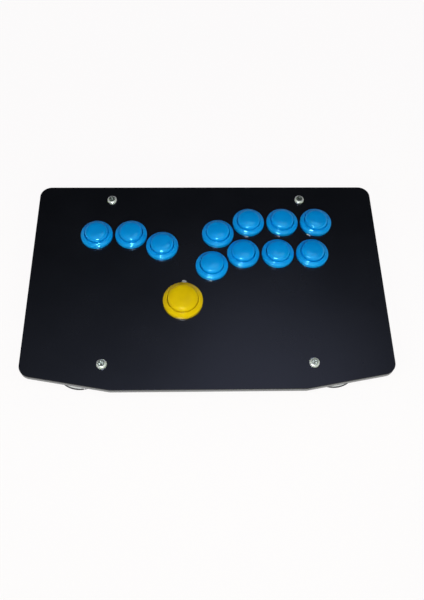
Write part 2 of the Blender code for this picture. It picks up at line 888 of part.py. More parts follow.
def make_lead():
    """The lead from the USB socket round the tray's left side to the board."""
    socket_face = BACK - TRAY_BACK_INSET - TRAY_WALL - GAP - SOCKET_SIZE.y - GAP
    side = -PANEL_WIDTH / 2 + TRAY_SIDE_INSET + TRAY_WALL + 4 * MM
    board_edge = BOARD_CENTRE.x - BOARD_SIZE.x / 2
    board_z = BOARD_BOTTOM + BOARD_THICKNESS + 2.5 * MM
    low_z = TRAY_FLOOR + 8 * MM
    route = [
        (SOCKET_X, socket_face, SOCKET_Z),
        (SOCKET_X, socket_face - 3 * MM, SOCKET_Z),
        (SOCKET_X - 9 * MM, socket_face - 9 * MM, SOCKET_Z - 2 * MM),
        (SOCKET_X - 40 * MM, socket_face - 6 * MM, low_z + 2 * MM),
        (side + 22 * MM, socket_face + 4 * MM, low_z),
        (side + 5 * MM, socket_face - 2 * MM, low_z),
        (side, socket_face - 20 * MM, low_z),
        (side, LEAD_BOARD_Y + 16 * MM, low_z),
        (side + 1.5 * MM, LEAD_BOARD_Y + 4 * MM, board_z),
        (board_edge - 3 * MM, LEAD_BOARD_Y, board_z),
        (board_edge, LEAD_BOARD_Y, board_z),
    ]
    lead = tube("usb_lead", smooth_route(route, 3), LEAD_RADIUS)
    place("usb_lead", lead, lead_black(), smooth=True)


def main():
    clear_scene()
    make_buttons()
    make_panel()
    make_tray()
    make_panel_screws()
    make_cups()
    make_board()
    make_signal_loom()
    make_ground_chain()
    make_socket()
    make_lead()


main()
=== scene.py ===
"""The arcade button panel as it looks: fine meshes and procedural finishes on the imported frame."""

import json
import math

import bmesh
import bpy
from mathutils import Matrix, Vector


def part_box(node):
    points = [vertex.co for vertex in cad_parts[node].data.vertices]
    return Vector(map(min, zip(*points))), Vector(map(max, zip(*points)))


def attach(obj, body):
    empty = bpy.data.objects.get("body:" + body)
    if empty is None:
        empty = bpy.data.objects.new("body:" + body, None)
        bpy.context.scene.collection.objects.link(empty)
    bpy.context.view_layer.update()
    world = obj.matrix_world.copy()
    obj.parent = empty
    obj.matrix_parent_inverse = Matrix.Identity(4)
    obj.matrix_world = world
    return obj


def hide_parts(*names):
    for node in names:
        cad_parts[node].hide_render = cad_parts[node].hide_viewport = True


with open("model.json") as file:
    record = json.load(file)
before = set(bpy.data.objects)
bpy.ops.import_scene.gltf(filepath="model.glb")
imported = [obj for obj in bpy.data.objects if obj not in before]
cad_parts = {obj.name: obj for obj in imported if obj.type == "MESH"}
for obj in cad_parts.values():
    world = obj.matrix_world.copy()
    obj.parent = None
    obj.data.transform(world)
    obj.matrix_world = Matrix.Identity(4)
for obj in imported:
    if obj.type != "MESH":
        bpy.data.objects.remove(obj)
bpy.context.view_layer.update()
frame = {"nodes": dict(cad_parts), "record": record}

MM = 0.001
ROOT = "panel"
CORNERS = ("front_left", "front_right", "rear_left", "rear_right")
BUTTONS = [
    body[: -len("_button")] for body in frame["record"]["behaviour"]["bodies"] if body != ROOT
]

# Shapes that the nodes' boxes don't give
GAP = 0.3 * MM  # between pieces that touch
SEAT = 0.02 * MM  # how far a collar or a screw's head stands off the film
EDGE_ROUNDING = 0.2 * MM
FRONT_FLAT = 155.5 * MM  # the level middle of the panel's front edge
FRONT_SETBACK = 13.2 * MM  # how far that edge falls back at the panel's sides
PANEL_CORNER = 10 * MM
FRONT_CORNER = 3 * MM
FILM_ROUNDING = 0.15 * MM
PLATE_ROUNDING = 0.35 * MM
TRAY_WALL = 1.5 * MM
TRAY_CORNER = 4 * MM
TRAY_FOLD = 2.4 * MM
TAB_WIDTH = 18 * MM
TAB_REACH = 7.5 * MM  # how far a tab runs past its screw
TAB_CORNER = 3 * MM
SCREW_HOLE = 2.3 * MM  # a radius, as all holes and shanks here
SCREW_SHANK = 1.95 * MM
RECESS_DEPTH = 1.2 * MM
RECESS_REACH = 1.9 * MM
RECESS_HALF_WIDTH = 0.55 * MM
CUP_RADIUS = 22.5 * MM
CUP_NECK = 6.5 * MM
CUP_HOLE = 2.4 * MM
CUP_HOLE_BOTTOM = 4.8 * MM
BOARD_THICKNESS = 1.6 * MM
BOARD_POST_INSET = 4 * MM
BOARD_POST_RADIUS = 2.5 * MM
SOCKET_NOSE = (11.4 * MM, 5.6 * MM)  # its width and height
SOCKET_NOSE_LENGTH = 1.9 * MM
SWITCH_LENGTH = 19.8 * MM
TERMINAL_LENGTH = 6.0 * MM
BARREL_CLEARANCE = 0.4 * MM
BARREL_FLOOR = 1.5 * MM
STEM_WELL = 2.6 * MM
TONGUE_WIDTH = 5 * MM
TONGUE_HEIGHT = 4 * MM
TONGUE_REACH = 1.2 * MM  # how far a snap tongue stands out from the barrel
TONGUE_ROOT = 0.6 * MM  # how far it runs into the barrel
CLIP_WIDTH = 4 * MM
CLIP_THICKNESS = 1.0 * MM
CLIP_DROP = 5.0 * MM  # how far the switch's clips hang below the barrel
CLIP_ROOT = 1.0 * MM
PLUNGER_WALL = 1.2 * MM
PLUNGER_ROOF = 2.6 * MM
PLUNGER_SKIRT = -9.0 * MM  # counted from the panel's face
PLUNGER_STEM = 2.0 * MM
CROWN_CURVE = 3.0  # 2 is an ellipse, and more is squarer
PLUNGER_LEAN = math.radians(0.7)
PLUNGER_SHIFT = 0.15 * MM
PLUNGER_SINK = 0.02 * MM  # keeps a leaning plunger below its box's top

# Radii of the panel's hole, the collar and its bore, then the heights of the collar's upright
# side and of the plunger's crown
SMALL = {
    "hole": 12.0 * MM,
    "collar": 14.0 * MM,
    "bore": 10.4 * MM,
    "side": 2.9 * MM,
    "crown": 3.4 * MM,
}
LARGE = {
    "hole": 15.0 * MM,
    "collar": 16.8 * MM,
    "bore": 13.1 * MM,
    "side": 3.0 * MM,
    "crown": 4.4 * MM,
}
BUTTON_SIDES = 96
SPECK = 0.002 * MM  # edges shorter than this are merged away

# Pale patches on the film beside the buttons, painted glints, the one by jump also a nick: the
# button beside each, its angle and distance from that button's centre, and its size across and
# outward
NICKS_AND_PAINTED_GLINTS = (
    ("jump", 87, 18.9 * MM, 4.2 * MM, 2.8 * MM),
    ("action_1_4", 240, 14.5 * MM, 4.5 * MM, 1.1 * MM),
    ("action_1_2", 262, 14.3 * MM, 4.0 * MM, 0.9 * MM),
    ("action_1_3", 254, 14.3 * MM, 3.0 * MM, 0.9 * MM),
    ("action_2_1", 266, 14.3 * MM, 2.5 * MM, 0.8 * MM),
)

PANEL_LOW, PANEL_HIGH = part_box("face_sheet")
PLATE_LOW, PLATE_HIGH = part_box("top_plate")
FACE = PANEL_HIGH.z
TRAY_LOW, TRAY_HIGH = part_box("case_tray")
SCREW_LOW, SCREW_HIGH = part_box("front_left_panel_screw")
SCREW_TOP = SCREW_HIGH.z - FACE
SCREW_RADIUS = (SCREW_HIGH.x - SCREW_LOW.x) / 2
SWITCH_CASE_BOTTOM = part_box("move_left_switch")[0].z + TERMINAL_LENGTH


# Camera, stage and light


def make_camera():
    """Stands in front of the panel's middle, well above it, and looks down at it."""
    place = (-0.01022, PANEL_LOW.y - 0.18173, FACE + 0.49268)
    pitch = math.radians(62.07)
    yaw = math.radians(3.086)
    roll = math.radians(2.43)
    data = bpy.data.cameras.new("camera")
    data.lens = 39.878
    data.sensor_width = 36
    data.clip_start = 0.01
    camera = bpy.data.objects.new("camera", data)
    turn = Matrix.Rotation(-yaw, 4, "Z")
    tilt = Matrix.Rotation(math.pi / 2 - pitch, 4, "X")
    spin = Matrix.Rotation(roll, 4, "Z")
    camera.matrix_world = Matrix.Translation(place) @ turn @ tilt @ spin
    bpy.context.scene.collection.objects.link(camera)
    bpy.context.scene.camera = camera


def area_light(name, location, target, size, power, colour=(1, 1, 1), lights="all"):
    """A box light that the camera doesn't see. It lights all reflection, or only matt or gloss."""
    data = bpy.data.lights.new(name, "AREA")
    data.shape = "RECTANGLE"
    data.size, data.size_y = size
    data.energy = power
    data.color = colour
    light = bpy.data.objects.new(name, data)
    light.location = location
    aim = Vector(target) - Vector(location)
    light.rotation_euler = aim.to_track_quat("-Z", "Y").to_euler()
    light.visible_camera = False
    light.visible_diffuse = lights != "gloss"
    light.visible_glossy = lights != "matt"
    bpy.context.scene.collection.objects.link(light)


def make_lights():
    """A key in front, a lamp close over the panel, and two weak boxes high above.

    The key and the lamp are each split: a tinted matt light, and a white one for gloss.
    """
    key_place = (0.08, -1.10, 0.82)
    key_aim = (0, 0, 0.05)
    key_size = (0.5, 0.2)
    area_light("key", key_place, key_aim, key_size, 6.5, (0.66, 1.0, 0.22), "matt")
    area_light("key_gloss", key_place, key_aim, key_size, 2.5, lights="gloss")
    lamp_place = (0.01, -0.20, 0.37)
    glint_place = (-0.06, -0.20, 0.37)
    lamp_aim = (-0.01, 0, 0.06)
    area_light("lamp", lamp_place, lamp_aim, (0.2, 0.05), 0.7, (0.95, 1.0, 0.95), "matt")
    area_light("glint", glint_place, lamp_aim, (0.12, 0.05), 1.6, lights="gloss")
    area_light("overhead", (0.15, -0.45, 1.35), (0.05, 0, 0.05), (1.2, 0.8), 1.6)
    area_light("patch", (0.22, 0.38, 1.30), (0.02, -0.05, 0.05), (0.5, 0.4), 0.5)


def make_world():
    """White low walls, a dark band above them and a pale ceiling, all brighter on the -Y side."""
    world = bpy.data.worlds.new("studio")
    world.use_nodes = True
    nodes = world.node_tree.nodes
    links = world.node_tree.links
    background = nodes["Background"]
    direction = nodes.new("ShaderNodeTexCoord")
    split = nodes.new("ShaderNodeSeparateXYZ")
    ramp = nodes.new("ShaderNodeValToRGB")
    links.new(direction.outputs["Generated"], split.inputs[0])
    links.new(split.outputs["Z"], ramp.inputs["Fac"])
    shade = nodes.new("ShaderNodeMapRange")
    shade.inputs["From Min"].default_value = -0.7
    shade.inputs["From Max"].default_value = 0.9
    shade.inputs["To Min"].default_value = 1.1
    shade.inputs["To Max"].default_value = 0.12
    links.new(split.outputs["Y"], shade.inputs["Value"])
    links.new(shade.outputs[0], background.inputs["Strength"])
    links.new(ramp.outputs["Color"], background.inputs["Color"])
    stops = (  # the height of a direction, and the colour that comes from it
        (0.38, (1.0, 0.95, 0.99)),
        (0.62, (0.02, 0.02, 0.02)),
        (0.79, (0.105, 0.107, 0.118)),
        (0.87, (0.33, 0.35, 0.35)),
        (0.94, (0.95, 0.98, 0.98)),
        (1.00, (1.20, 1.25, 1.25)),
    )
    elements = ramp.color_ramp.elements
    while len(elements) < len(stops):
        elements.new(0.5)
    for element, (position, colour) in zip(elements, stops):
        element.position = position
        element.color = (*colour, 1)
    bpy.context.scene.world = world


def make_floor():
    """A pale floor that glows a little, just under the suction cups."""
    reach = 30.0
    drop = 0.1 * MM
    bm = bmesh.new()
    corners = [(-reach, -reach), (reach, -reach), (reach, reach), (-reach, reach)]
    bm.faces.new([bm.verts.new((x, y, -drop)) for x, y in corners])
    mesh = bpy.data.meshes.new("floor")
    bm.to_mesh(mesh)
    bm.free()
    graph = Graph("floor_white")
    graph.set("Roughness", 0.9)
    graph.set("Specular IOR Level", 0.1)
    graph.link(
        graph.ramp(graph.noise(3), (0.3, (0.030, 0.030, 0.030)), (0.7, (0.036, 0.036, 0.036))),
        "Base Color",
    )
    graph.set("Emission Color", (1.0, 0.985, 0.99, 1))
    graph.set("Emission Strength", 0.95)
    mesh.materials.append(graph.material)
    floor = bpy.data.objects.new("floor", mesh)
    bpy.context.scene.collection.objects.link(floor)


# Finishes


class Graph:
    """A material's node tree, with short calls for the nodes that the finishes share."""

    def __init__(self, name):
        self.material = bpy.data.materials.new(name)
        self.material.use_nodes = True
        self.nodes = self.material.node_tree.nodes
        self.links = self.material.node_tree.links
        self.shader = self.nodes["Principled BSDF"]
        coordinates = self.nodes.new("ShaderNodeTexCoord")
        self.object_place = coordinates.outputs["Object"]
        info = self.nodes.new("ShaderNodeObjectInfo")
        shift = self.nodes.new("ShaderNodeVectorMath")
        shift.operation = "ADD"
        self.links.new(self.object_place, shift.inputs[0])
        self.links.new(info.outputs["Random"], shift.inputs[1])
        self.place = shift.outputs[0]

    def set(self, socket, value):
        self.shader.inputs[socket].default_value = value

    def link(self, output, socket):
        self.links.new(output, self.shader.inputs[socket])

    def noise(self, scale, detail=2.0, stretch=(1, 1, 1), distortion=0.0):
        """Noise from 0 to 1. scale is in features to the metre."""
        mapping = self.nodes.new("ShaderNodeMapping")
        mapping.inputs["Scale"].default_value = stretch
        self.links.new(self.place, mapping.inputs["Vector"])
        node = self.nodes.new("ShaderNodeTexNoise")
        node.inputs["Scale"].default_value = scale
        node.inputs["Detail"].default_value = detail
        node.inputs["Distortion"].default_value = distortion
        self.links.new(mapping.outputs[0], node.inputs["Vector"])
        return node.outputs[0]

    def axis(self, name):
        """The piece's own X, Y or Z at each point, in metres."""
        split = self.nodes.new("ShaderNodeSeparateXYZ")
        self.links.new(self.object_place, split.inputs[0])
        return split.outputs[name]

    def reach(self):
        """The distance of each point from the piece's own upright axis, in metres."""
        across = self.combine("POWER", self.axis("X"), 2.0)
        along = self.combine("POWER", self.axis("Y"), 2.0)
        return self.combine("SQRT", self.combine("ADD", across, along), 0.0)

    def ramp(self, factor, *stops):
        """Colours or greys along factor. Each stop is (position, colour or grey)."""
        node = self.nodes.new("ShaderNodeValToRGB")
        self.links.new(factor, node.inputs["Fac"])
        elements = node.color_ramp.elements
        while len(elements) < len(stops):
            elements.new(0.5)
        for element, (position, colour) in zip(elements, stops):
            if isinstance(colour, (int, float)):
                colour = (colour,) * 3
            element.position = position
            element.color = (*colour, 1)
        return node.outputs["Color"]

    def facing(self):
        """From 0 where the surface faces the viewer to 1 at its outline."""
        node = self.nodes.new("ShaderNodeLayerWeight")
        node.inputs["Blend"].default_value = 0.5
        return node.outputs["Facing"]

    def spread(self, value, low, high, to_low=0.0, to_high=1.0):
        """Maps value from low..high to to_low..to_high, held at the ends."""
        node = self.nodes.new("ShaderNodeMapRange")
        self.links.new(value, node.inputs["Value"])
        node.inputs["From Min"].default_value = low
        node.inputs["From Max"].default_value = high
        node.inputs["To Min"].default_value = to_low
        node.inputs["To Max"].default_value = to_high
        return node.outputs[0]

    def combine(self, operation, first, second):
        """A math node. Each value is a number or another node's output."""
        node = self.nodes.new("ShaderNodeMath")
        node.operation = operation
        for socket, value in zip(node.inputs, (first, second)):
            if isinstance(value, (int, float)):
                socket.default_value = value
            else:
                self.links.new(value, socket)
        return node.outputs[0]

    def mix(self, factor, first, second):
        """A blend of two colours, from first at factor 0 to second at factor 1."""
        node = self.nodes.new("ShaderNodeMix")
        node.data_type = "RGBA"
        self.links.new(factor, node.inputs[0])
        for socket, value in ((node.inputs[6], first), (node.inputs[7], second)):
            if isinstance(value, tuple):
                socket.default_value = (*value, 1)
            else:
                self.links.new(value, socket)
        return node.outputs[2]

    def bump(self, height, distance, below=None):
        """Adds relief to the surface. distance is its full height in metres."""
        node = self.nodes.new("ShaderNodeBump")
        node.inputs["Strength"].default_value = 1.0
        node.inputs["Distance"].default_value = distance
        self.links.new(height, node.inputs["Height"])
        if below is not None:
            self.links.new(below, node.inputs["Normal"])
        self.link(node.outputs[0], "Normal")
        return node.outputs[0]


def moulded_plastic(name, dark, light, tint, gloss, edge_gloss):
    """Glossy injection-moulded plastic: slow waves in the surface and a few dull specks.

    tint colours its gloss, which goes from gloss, seen square on, to edge_gloss at its outline.
    """
    graph = Graph(name)
    cloud = graph.noise(70, 2)
    graph.link(graph.ramp(cloud, (0.35, dark), (0.65, light)), "Base Color")
    grain = graph.noise(2500, 3)
    graph.link(graph.spread(grain, 0.3, 0.75, 0.05, 0.10), "Roughness")
    graph.link(graph.spread(graph.facing(), 0.4, 0.9, gloss, edge_gloss), "Specular IOR Level")
    graph.set("Specular Tint", (*tint, 1))
    graph.set("Subsurface Weight", 0.05)
    graph.set("Subsurface Radius", (0.6 * MM, 0.6 * MM, 0.6 * MM))
    waves = graph.bump(graph.noise(240, 1), 0.02 * MM)
    graph.bump(grain, 0.0008 * MM, waves)
    return graph.material


def face_film():
    """Satin black film: fine grain, faint clouding, hairline scuffs, and pale patches by the buttons
    that are painted glints, the one by jump also a nick.
    """
    graph = Graph("face_film")
    cloud = graph.noise(22, 4)
    scuffs = graph.noise(420, 2, stretch=(0.06, 1.6, 1), distortion=0.4)
    base = graph.ramp(cloud, (0.3, (0.0013, 0.0014, 0.0016)), (0.7, (0.0020, 0.0021, 0.0024)))
    lit = graph.spread(scuffs, 0.70, 0.78, 0.0, 0.25)
    marked = graph.mix(lit, base, (0.010, 0.010, 0.011))
    grain = graph.noise(3800, 3)
    ragged = graph.spread(graph.noise(1100, 3), 0.3, 0.7, -0.45, 0.45)
    nick_and_glint = 0.0  # 1 inside a pale patch: a painted glint, by jump also a nick
    for button, angle, distance, across, along in NICKS_AND_PAINTED_GLINTS:
        centre = middle(f"{button}_plunger")
        heading = math.radians(angle)
        outward = Vector((math.cos(heading), math.sin(heading)))
        offset = (centre.x + distance * outward.x, centre.y + distance * outward.y)
        parts = []
        for direction, half in ((outward, along / 2), (outward.orthogonal(), across / 2)):
            x = graph.combine("MULTIPLY", graph.axis("X"), direction.x / half)
            y = graph.combine("MULTIPLY", graph.axis("Y"), direction.y / half)
            start = (offset[0] * direction.x + offset[1] * direction.y) / half
            part = graph.combine("SUBTRACT", graph.combine("ADD", x, y), start)
            parts.append(graph.combine("POWER", graph.combine("ABSOLUTE", part, 0.0), 2.0))
        reach = graph.combine("ADD", graph.combine("ADD", *parts), ragged)
        nick_and_glint = graph.combine("MAXIMUM", graph.spread(reach, 0.8, 1.1, 1.0, 0.0), nick_and_glint)
    flecks = graph.noise(1600, 2)
    # The pale patch colour is a painted glint, and by jump also the bare core of a nick.
    glint_and_nick_colour = graph.ramp(flecks, (0.35, (0.16, 0.155, 0.15)), (0.65, (0.62, 0.61, 0.59)))
    graph.link(graph.mix(nick_and_glint, marked, glint_and_nick_colour), "Base Color")
    rough = graph.spread(cloud, 0.3, 0.7, 0.24, 0.28)
    graph.link(graph.combine("MAXIMUM", rough, graph.combine("MULTIPLY", nick_and_glint, 0.7)), "Roughness")
    dull_edge = graph.spread(graph.axis("Z"), FACE - 0.04 * MM, FACE - 0.005 * MM, 0.02, 0.52)
    graph.link(dull_edge, "Specular IOR Level")
    graph.set("Specular Tint", (0.62, 0.67, 1.0, 1))
    graph.bump(grain, 0.012 * MM)
    return graph.material


def cut_edge():
    """Frosted grey plate: saw lines on its edge, which is darker along its top rim and has a painted
    shadow along its bottom rim.
    """
    graph = Graph("cut_edge")
    lines = graph.noise(900, 3, stretch=(1, 1, 0.02))
    frosted = graph.ramp(lines, (0.3, (0.130, 0.121, 0.147)), (0.7, (0.182, 0.171, 0.204)))
    height = graph.spread(graph.axis("Z"), PLATE_LOW.z, PLATE_HIGH.z)
    # Mask for the edge's rims: darker along the top, and a painted shadow along the bottom.
    dark_top_and_painted_shadow = graph.ramp(height, (0.0, 1.0), (0.25, 0.0), (0.66, 0.0), (0.85, 0.95))
    graph.link(graph.mix(dark_top_and_painted_shadow, frosted, (0.02, 0.02, 0.022)), "Base Color")
    graph.link(graph.spread(lines, 0.3, 0.7, 0.35, 0.55), "Roughness")
    graph.bump(lines, 0.03 * MM)
    return graph.material


def powder_coat():
    """Black powder coat on folded steel: an even pebbled texture."""
    graph = Graph("powder_coat")
    pebbles = graph.noise(2200, 2)
    cloud = graph.noise(30, 3)
    black = graph.ramp(cloud, (0.3, (0.012, 0.012, 0.013)), (0.7, (0.019, 0.019, 0.020)))
    graph.link(black, "Base Color")
    graph.link(graph.spread(pebbles, 0.3, 0.7, 0.42, 0.6), "Roughness")
    graph.bump(pebbles, 0.05 * MM)
    return graph.material


def plated_steel():
    """Zinc-plated steel with fine turning marks."""
    graph = Graph("plated_steel")
    cloud = graph.noise(900, 3)
    zinc = graph.ramp(cloud, (0.3, (0.50, 0.54, 0.51)), (0.7, (0.66, 0.70, 0.67)))
    graph.link(zinc, "Base Color")
    graph.set("Metallic", 1.0)
    graph.link(graph.spread(cloud, 0.3, 0.7, 0.2, 0.32), "Roughness")
    graph.bump(graph.noise(2600, 2), 0.01 * MM)
    return graph.material


def screw_steel():
    """Zinc plate on a screw: a dull greenish top, a pale rim that is a painted highlight, and
    painted shade in the cross recess.
    """
    graph = Graph("screw_steel")
    cloud = graph.noise(1500, 3)
    reach = graph.reach()
    # The pale, less metallic rim is a painted highlight.
    rim = graph.spread(reach, 0.60 * SCREW_RADIUS, 0.72 * SCREW_RADIUS)
    top = graph.ramp(cloud, (0.3, (0.31, 0.34, 0.33)), (0.7, (0.37, 0.40, 0.39)))
    pale = graph.ramp(cloud, (0.3, (0.56, 0.58, 0.60)), (0.7, (0.65, 0.67, 0.69)))
    # Painted shade in the cross recess: a darker colour down inside it.
    depth = graph.spread(graph.axis("Z"), SCREW_TOP - 0.3 * MM, SCREW_TOP - 0.12 * MM, 1, 0)
    inside = graph.spread(reach, 0.50 * SCREW_RADIUS, 0.55 * SCREW_RADIUS, 1, 0)
    recess = graph.combine("MULTIPLY", depth, inside)
    graph.link(graph.mix(recess, graph.mix(rim, top, pale), (0.19, 0.21, 0.205)), "Base Color")
    graph.link(graph.spread(rim, 0, 1, 0.9, 0.45), "Metallic")
    graph.link(graph.spread(cloud, 0.3, 0.7, 0.22, 0.30), "Roughness")
    graph.bump(cloud, 0.0015 * MM)
    return graph.material


def clear_vinyl():
    """Clear soft vinyl, slightly grey, with flow marks and a painted dark line of shade round the
    rim.
    """
    graph = Graph("clear_vinyl")
    flow = graph.noise(120, 2)
    pale = graph.ramp(flow, (0.3, (0.72, 0.74, 0.76)), (0.7, (0.84, 0.86, 0.87)))
    # The dark line round the rim is painted shade.
    rim = graph.spread(graph.reach(), CUP_RADIUS - 1.3 * MM, CUP_RADIUS - 0.7 * MM)
    graph.link(graph.mix(rim, pale, (0.005, 0.005, 0.006)), "Base Color")
    graph.set("Transmission Weight", 0.85)
    graph.set("IOR", 1.5)
    graph.link(graph.spread(flow, 0.3, 0.7, 0.06, 0.14), "Roughness")
    graph.bump(graph.noise(400, 2), 0.02 * MM)
    return graph.material


def switch_body():
    """Black moulded case above, and tinned terminals below it."""
    graph = Graph("switch_body")
    grain = graph.noise(1800, 2)
    case_bottom = SWITCH_CASE_BOTTOM
    terminals = graph.spread(graph.axis("Z"), case_bottom - 0.1 * MM, case_bottom, 1, 0)
    black = graph.ramp(grain, (0.3, (0.012, 0.012, 0.013)), (0.7, (0.024, 0.024, 0.025)))
    graph.link(graph.mix(terminals, black, (0.72, 0.70, 0.66)), "Base Color")
    graph.link(terminals, "Metallic")
    graph.link(graph.spread(grain, 0.3, 0.7, 0.38, 0.5), "Roughness")
    graph.bump(grain, 0.01 * MM)
    return graph.material


def circuit_board():
    """Green solder mask with faint tracks, and black headers and chip above it."""
    graph = Graph("circuit_board")
    tracks = graph.noise(260, 0, stretch=(1, 0.15, 1))
    mask = graph.ramp(tracks, (0.49, (0.006, 0.09, 0.035)), (0.5, (0.012, 0.14, 0.055)))
    board_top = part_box("encoder_board")[0].z + BOARD_THICKNESS
    raised = graph.spread(graph.axis("Z"), board_top + 0.05 * MM, board_top + 0.15 * MM)
    graph.link(graph.mix(raised, mask, (0.018, 0.018, 0.019)), "Base Color")
    graph.link(graph.spread(graph.noise(900), 0.3, 0.7, 0.3, 0.45), "Roughness")
    graph.bump(tracks, 0.03 * MM)
    return graph.material


def socket_shell():
    """A plated shell at the nose, on a black moulded block."""
    graph = Graph("socket_shell")
    grain = graph.noise(1600, 2)
    nose_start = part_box("usb_socket")[1].y - SOCKET_NOSE_LENGTH
    nose = graph.spread(graph.axis("Y"), nose_start, nose_start + 0.1 * MM)
    steel = graph.ramp(grain, (0.3, (0.50, 0.50, 0.50)), (0.7, (0.62, 0.62, 0.61)))
    graph.link(graph.mix(nose, (0.018, 0.018, 0.019), steel), "Base Color")
    graph.link(nose, "Metallic")
    graph.link(graph.spread(grain, 0.3, 0.7, 0.28, 0.4), "Roughness")
    graph.bump(grain, 0.01 * MM)
    return graph.material


def wire_cover(name, dark, light):
    """Soft extruded insulation, with a slight unevenness along it."""
    graph = Graph(name)
    run = graph.noise(350, 2)
    graph.link(graph.ramp(run, (0.3, dark), (0.7, light)), "Base Color")
    graph.link(graph.spread(run, 0.3, 0.7, 0.38, 0.52), "Roughness")
    graph.bump(graph.noise(1500), 0.02 * MM)
    return graph.material


# Mesh tools


def finish_mesh(bm, name):
    """Turn bm into a mesh whose faces all look outward."""
    bmesh.ops.recalc_face_normals(bm, faces=bm.faces)
    mesh = bpy.data.meshes.new(name)
    bm.to_mesh(mesh)
    bm.free()
    return mesh


def rounded(corners, closed=True, segments=8):
    """Round each (x, y, radius) corner of an outline with an arc. A radius of 0 stays sharp."""
    outline = []
    last_index = len(corners) - 1
    for index, (x, y, radius) in enumerate(corners):
        if radius == 0 or (not closed and index in (0, last_index)):
            outline.append((x, y))
            continue
        corner = Vector((x, y))
        before = (Vector(corners[index - 1][:2]) - corner).normalized()
        after = (Vector(corners[(index + 1) % len(corners)][:2]) - corner).normalized()
        half_angle = before.angle(after) / 2
        centre = corner + (before + after).normalized() * radius / math.sin(half_angle)
        first = corner + before * radius / math.tan(half_angle) - centre
        final = corner + after * radius / math.tan(half_angle) - centre
        turn = -first.angle_signed(final)
        for step in range(segments + 1):
            angle = turn * step / segments
            outline.append(
                (
                    centre.x + first.x * math.cos(angle) - first.y * math.sin(angle),
                    centre.y + first.x * math.sin(angle) + first.y * math.cos(angle),
                )
            )
    return outline


def dome(radius, bottom, top, curve, steps=20):
    """Profile points of a crown, from its middle at top out and down to radius at bottom."""
    points = []
    for step in range(steps + 1):
        angle = math.pi / 2 * step / steps
        reach = math.sin(angle) ** (2 / curve)
        rise = max(0.0, math.cos(angle)) ** (2 / curve)
        points.append((radius * reach, bottom + (top - bottom) * rise))
    return points


def turned(name, profile, sides):
    """Turn (radius, height) points about Z. An open profile starts and ends on the axis."""
    bm = bmesh.new()
    ring = [bm.verts.new((radius, 0, height)) for radius, height in profile]
    pairs = list(zip(ring, ring[1:]))
    if profile[0][0] > 0:
        pairs.append((ring[-1], ring[0]))
    edges = [bm.edges.new(pair) for pair in pairs]
    bmesh.ops.spin(
        bm,
        geom=ring + edges,
        axis=(0, 0, 1),
        cent=(0, 0, 0),
        angle=math.tau,
        steps=sides,
        use_merge=True,
    )
    bmesh.ops.remove_doubles(bm, verts=bm.verts, dist=SPECK)
    return finish_mesh(bm, name)


def prism(name, outline, bottom, top, bottom_round=0.0, top_round=0.0, segments=3):
    """Extrude a plan outline, with its bottom and top edges rounded."""
    bm = bmesh.new()
    base = bm.faces.new([bm.verts.new((x, y, bottom)) for x, y in outline])
    made = bmesh.ops.extrude_face_region(bm, geom=[base])["geom"]
    upper = [item for item in made if isinstance(item, bmesh.types.BMVert)]
    cap = [item for item in made if isinstance(item, bmesh.types.BMFace)][0]
    bmesh.ops.translate(bm, verts=upper, vec=(0, 0, top - bottom))
    for face, radius in ((cap, top_round), (base, bottom_round)):
        if radius:
            bmesh.ops.bevel(
                bm,
                geom=list(face.edges),
                offset=radius,
                segments=segments,
                profile=0.5,
                affect="EDGES",
            )
    return finish_mesh(bm, name)


def box(name, low, high, rounding=0.0):
    """A block from its low to its high corner, with its edges rounded."""
    outline = [(low[0], low[1]), (high[0], low[1]), (high[0], high[1]), (low[0], high[1])]
    mesh = prism(name, outline, low[2], high[2])
    if rounding:
        bm = bmesh.new()
        bm.from_mesh(mesh)
        bmesh.ops.bevel(
            bm, geom=list(bm.edges), offset=rounding, segments=2, profile=0.5, affect="EDGES"
        )
        mesh = finish_mesh(bm, name)
    return mesh


def evaluated_mesh(obj):
    """The object's mesh with its modifiers applied. The object itself is removed."""
    bpy.context.scene.collection.objects.link(obj)
    depsgraph = bpy.context.evaluated_depsgraph_get()
    mesh = bpy.data.meshes.new_from_object(obj.evaluated_get(depsgraph))
    bpy.data.objects.remove(obj, do_unlink=True)
    return mesh


def boolean(mesh, tools, operation):
    """Join each tool mesh to mesh, or cut it away, one after the other."""
    for tool in tools:
        target = bpy.data.objects.new("target", mesh)
        other = bpy.data.objects.new("tool", tool)
        bpy.context.scene.collection.objects.link(other)
        modifier = target.modifiers.new("boolean", "BOOLEAN")
        modifier.operation = operation
        modifier.object = other
        mesh = evaluated_mesh(target)
        bpy.data.objects.remove(other, do_unlink=True)
    return mesh


def without_specks(mesh):
    """Merge away the tiny edges and slivers that a boolean leaves where curved faces meet."""
    bm = bmesh.new()
    bm.from_mesh(mesh)
    bmesh.ops.remove_doubles(bm, verts=bm.verts, dist=SPECK)
    bmesh.ops.dissolve_degenerate(bm, edges=bm.edges, dist=SPECK)
    return finish_mesh(bm, mesh.name)


def moved(mesh, offset):
    """Shift a mesh, and give it back."""
    mesh.transform(Matrix.Translation(offset))
    return mesh


def show(name, mesh, material, body, replaced, location=(0, 0, 0), angle=32):
    """Put a mesh in the scene as one piece that rides on body and stands for a CAD node."""
    mesh = mesh.copy()
    mesh.name = name
    mesh.materials.clear()
    mesh.materials.append(material)
    mesh.shade_smooth()
    mesh.set_sharp_from_angle(angle=math.radians(angle))
    piece = bpy.data.objects.new(name, mesh)
    piece.location = location
    normals = piece.modifiers.new("flat_faces", "WEIGHTED_NORMAL")
    normals.keep_sharp = True
    bpy.context.scene.collection.objects.link(piece)
    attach(piece, body)
    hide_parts(replaced)
    return piece


# Buttons


def middle(node):
    """The middle of a CAD node's box at rest."""
    low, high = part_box(node)
    return (low + high) / 2


def button_size(name):
    return LARGE if name == "jump" else SMALL


